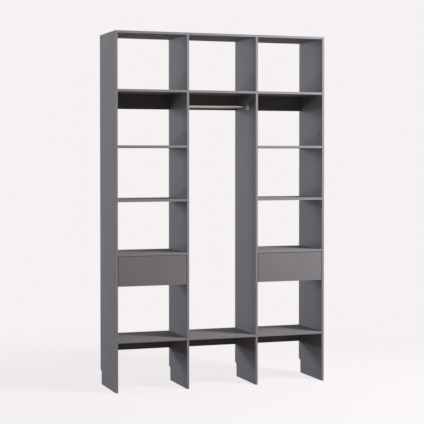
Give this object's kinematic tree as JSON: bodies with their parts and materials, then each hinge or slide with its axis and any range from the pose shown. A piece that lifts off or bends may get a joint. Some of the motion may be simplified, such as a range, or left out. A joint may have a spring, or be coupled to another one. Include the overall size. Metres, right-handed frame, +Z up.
{
  "type": "open wardrobe unit",
  "caption": "Tall open wardrobe unit in dark grey board: full-height uprights, shelves, inset drawers on roller runners and a chrome hanging rail; open back.",
  "frame": {"origin": "on the floor, under the middle of the unit's width and depth", "axes": "+X to the right seen from the front, +Y towards the wall behind the unit, +Z up; drawers open towards -Y"},
  "size_m": [1.504, 0.405, 2.4],
  "materials": {
    "board": "matt dark grey melamine on chipboard",
    "drawer_board": "matt grey melamine on chipboard",
    "drawer_panel": "grey lacquered hardboard",
    "runner_steel": "grey epoxy coated sheet steel",
    "roller": "white nylon",
    "chrome": "polished chrome plating"
  },
  "bodies": {
    "root": {"centre_bottom_shelf": "board", "centre_lower_stretcher": "board", "centre_top_board": "board", "centre_upper_shelf": "board", "centre_upper_stretcher": "board", "hanging_rail": "chrome", "left_adjustable_shelf_lower": "board", "left_adjustable_shelf_upper": "board", "left_bottom_shelf": "board", "left_divider": "board", "left_drawer_left_cabinet_member": "runner_steel", "left_drawer_right_cabinet_member": "runner_steel", "left_drawer_shelf": "board", "left_lower_stretcher": "board", "left_rail_bracket": "chrome", "left_side_panel": "board", "left_top_board": "board", "left_upper_shelf": "board", "left_upper_stretcher": "board", "right_adjustable_shelf_lower": "board", "right_adjustable_shelf_upper": "board", "right_bottom_shelf": "board", "right_divider": "board", "right_drawer_left_cabinet_member": "runner_steel", "right_drawer_right_cabinet_member": "runner_steel", "right_drawer_shelf": "board", "right_lower_stretcher": "board", "right_rail_bracket": "chrome", "right_side_panel": "board", "right_top_board": "board", "right_upper_shelf": "board", "right_upper_stretcher": "board"},
    "left_drawer": {"left_drawer_front": "board", "left_drawer_left_side": "drawer_board", "left_drawer_right_side": "drawer_board", "left_drawer_back": "drawer_board", "left_drawer_bottom": "drawer_panel", "left_drawer_left_drawer_member": "runner_steel", "left_drawer_right_drawer_member": "runner_steel"},
    "right_drawer": {"right_drawer_front": "board", "right_drawer_left_side": "drawer_board", "right_drawer_right_side": "drawer_board", "right_drawer_back": "drawer_board", "right_drawer_bottom": "drawer_panel", "right_drawer_left_drawer_member": "runner_steel", "right_drawer_right_drawer_member": "runner_steel"},
    "left_drawer_left_front_roller": {"left_drawer_left_front_roller": "roller"},
    "left_drawer_left_rear_roller": {"left_drawer_left_rear_roller": "roller"},
    "left_drawer_right_front_roller": {"left_drawer_right_front_roller": "roller"},
    "left_drawer_right_rear_roller": {"left_drawer_right_rear_roller": "roller"},
    "right_drawer_left_front_roller": {"right_drawer_left_front_roller": "roller"},
    "right_drawer_left_rear_roller": {"right_drawer_left_rear_roller": "roller"},
    "right_drawer_right_front_roller": {"right_drawer_right_front_roller": "roller"},
    "right_drawer_right_rear_roller": {"right_drawer_right_rear_roller": "roller"}
  },
  "joints": [
    {"name": "left_drawer_slide", "type": "slide", "parent": "root", "child": "left_drawer", "axis": [0, -1, 0], "range_m": [0, 0.26]},
    {"name": "right_drawer_slide", "type": "slide", "parent": "root", "child": "right_drawer", "axis": [0, -1, 0], "range_m": [0, 0.26]},
    {"name": "left_drawer_left_front_roller_turn", "type": "hinge", "parent": "root", "child": "left_drawer_left_front_roller", "pos_m": [-0.72975, -0.1722, 0.737], "axis": [1, 0, 0], "range_deg": [0, 1490]},
    {"name": "left_drawer_left_rear_roller_turn", "type": "hinge", "parent": "left_drawer", "child": "left_drawer_left_rear_roller", "pos_m": [-0.72975, 0.1518, 0.7344], "axis": [1, 0, 0], "range_deg": [0, 1490]},
    {"name": "left_drawer_right_front_roller_turn", "type": "hinge", "parent": "root", "child": "left_drawer_right_front_roller", "pos_m": [-0.26225, -0.1722, 0.737], "axis": [1, 0, 0], "range_deg": [0, 1490]},
    {"name": "left_drawer_right_rear_roller_turn", "type": "hinge", "parent": "left_drawer", "child": "left_drawer_right_rear_roller", "pos_m": [-0.26225, 0.1518, 0.7344], "axis": [1, 0, 0], "range_deg": [0, 1490]},
    {"name": "right_drawer_left_front_roller_turn", "type": "hinge", "parent": "root", "child": "right_drawer_left_front_roller", "pos_m": [0.26225, -0.1722, 0.737], "axis": [1, 0, 0], "range_deg": [0, 1490]},
    {"name": "right_drawer_left_rear_roller_turn", "type": "hinge", "parent": "right_drawer", "child": "right_drawer_left_rear_roller", "pos_m": [0.26225, 0.1518, 0.7344], "axis": [1, 0, 0], "range_deg": [0, 1490]},
    {"name": "right_drawer_right_front_roller_turn", "type": "hinge", "parent": "root", "child": "right_drawer_right_front_roller", "pos_m": [0.72975, -0.1722, 0.737], "axis": [1, 0, 0], "range_deg": [0, 1490]},
    {"name": "right_drawer_right_rear_roller_turn", "type": "hinge", "parent": "right_drawer", "child": "right_drawer_right_rear_roller", "pos_m": [0.72975, 0.1518, 0.7344], "axis": [1, 0, 0], "range_deg": [0, 1490]}
  ],
  "couplings": [
    {"joint": "left_drawer_left_front_roller_turn", "follows": "left_drawer_slide", "rad_per_m": 100},
    {"joint": "left_drawer_left_rear_roller_turn", "follows": "left_drawer_slide", "rad_per_m": 100},
    {"joint": "left_drawer_right_front_roller_turn", "follows": "left_drawer_slide", "rad_per_m": 100},
    {"joint": "left_drawer_right_rear_roller_turn", "follows": "left_drawer_slide", "rad_per_m": 100},
    {"joint": "right_drawer_left_front_roller_turn", "follows": "right_drawer_slide", "rad_per_m": 100},
    {"joint": "right_drawer_left_rear_roller_turn", "follows": "right_drawer_slide", "rad_per_m": 100},
    {"joint": "right_drawer_right_front_roller_turn", "follows": "right_drawer_slide", "rad_per_m": 100},
    {"joint": "right_drawer_right_rear_roller_turn", "follows": "right_drawer_slide", "rad_per_m": 100}
  ]
}
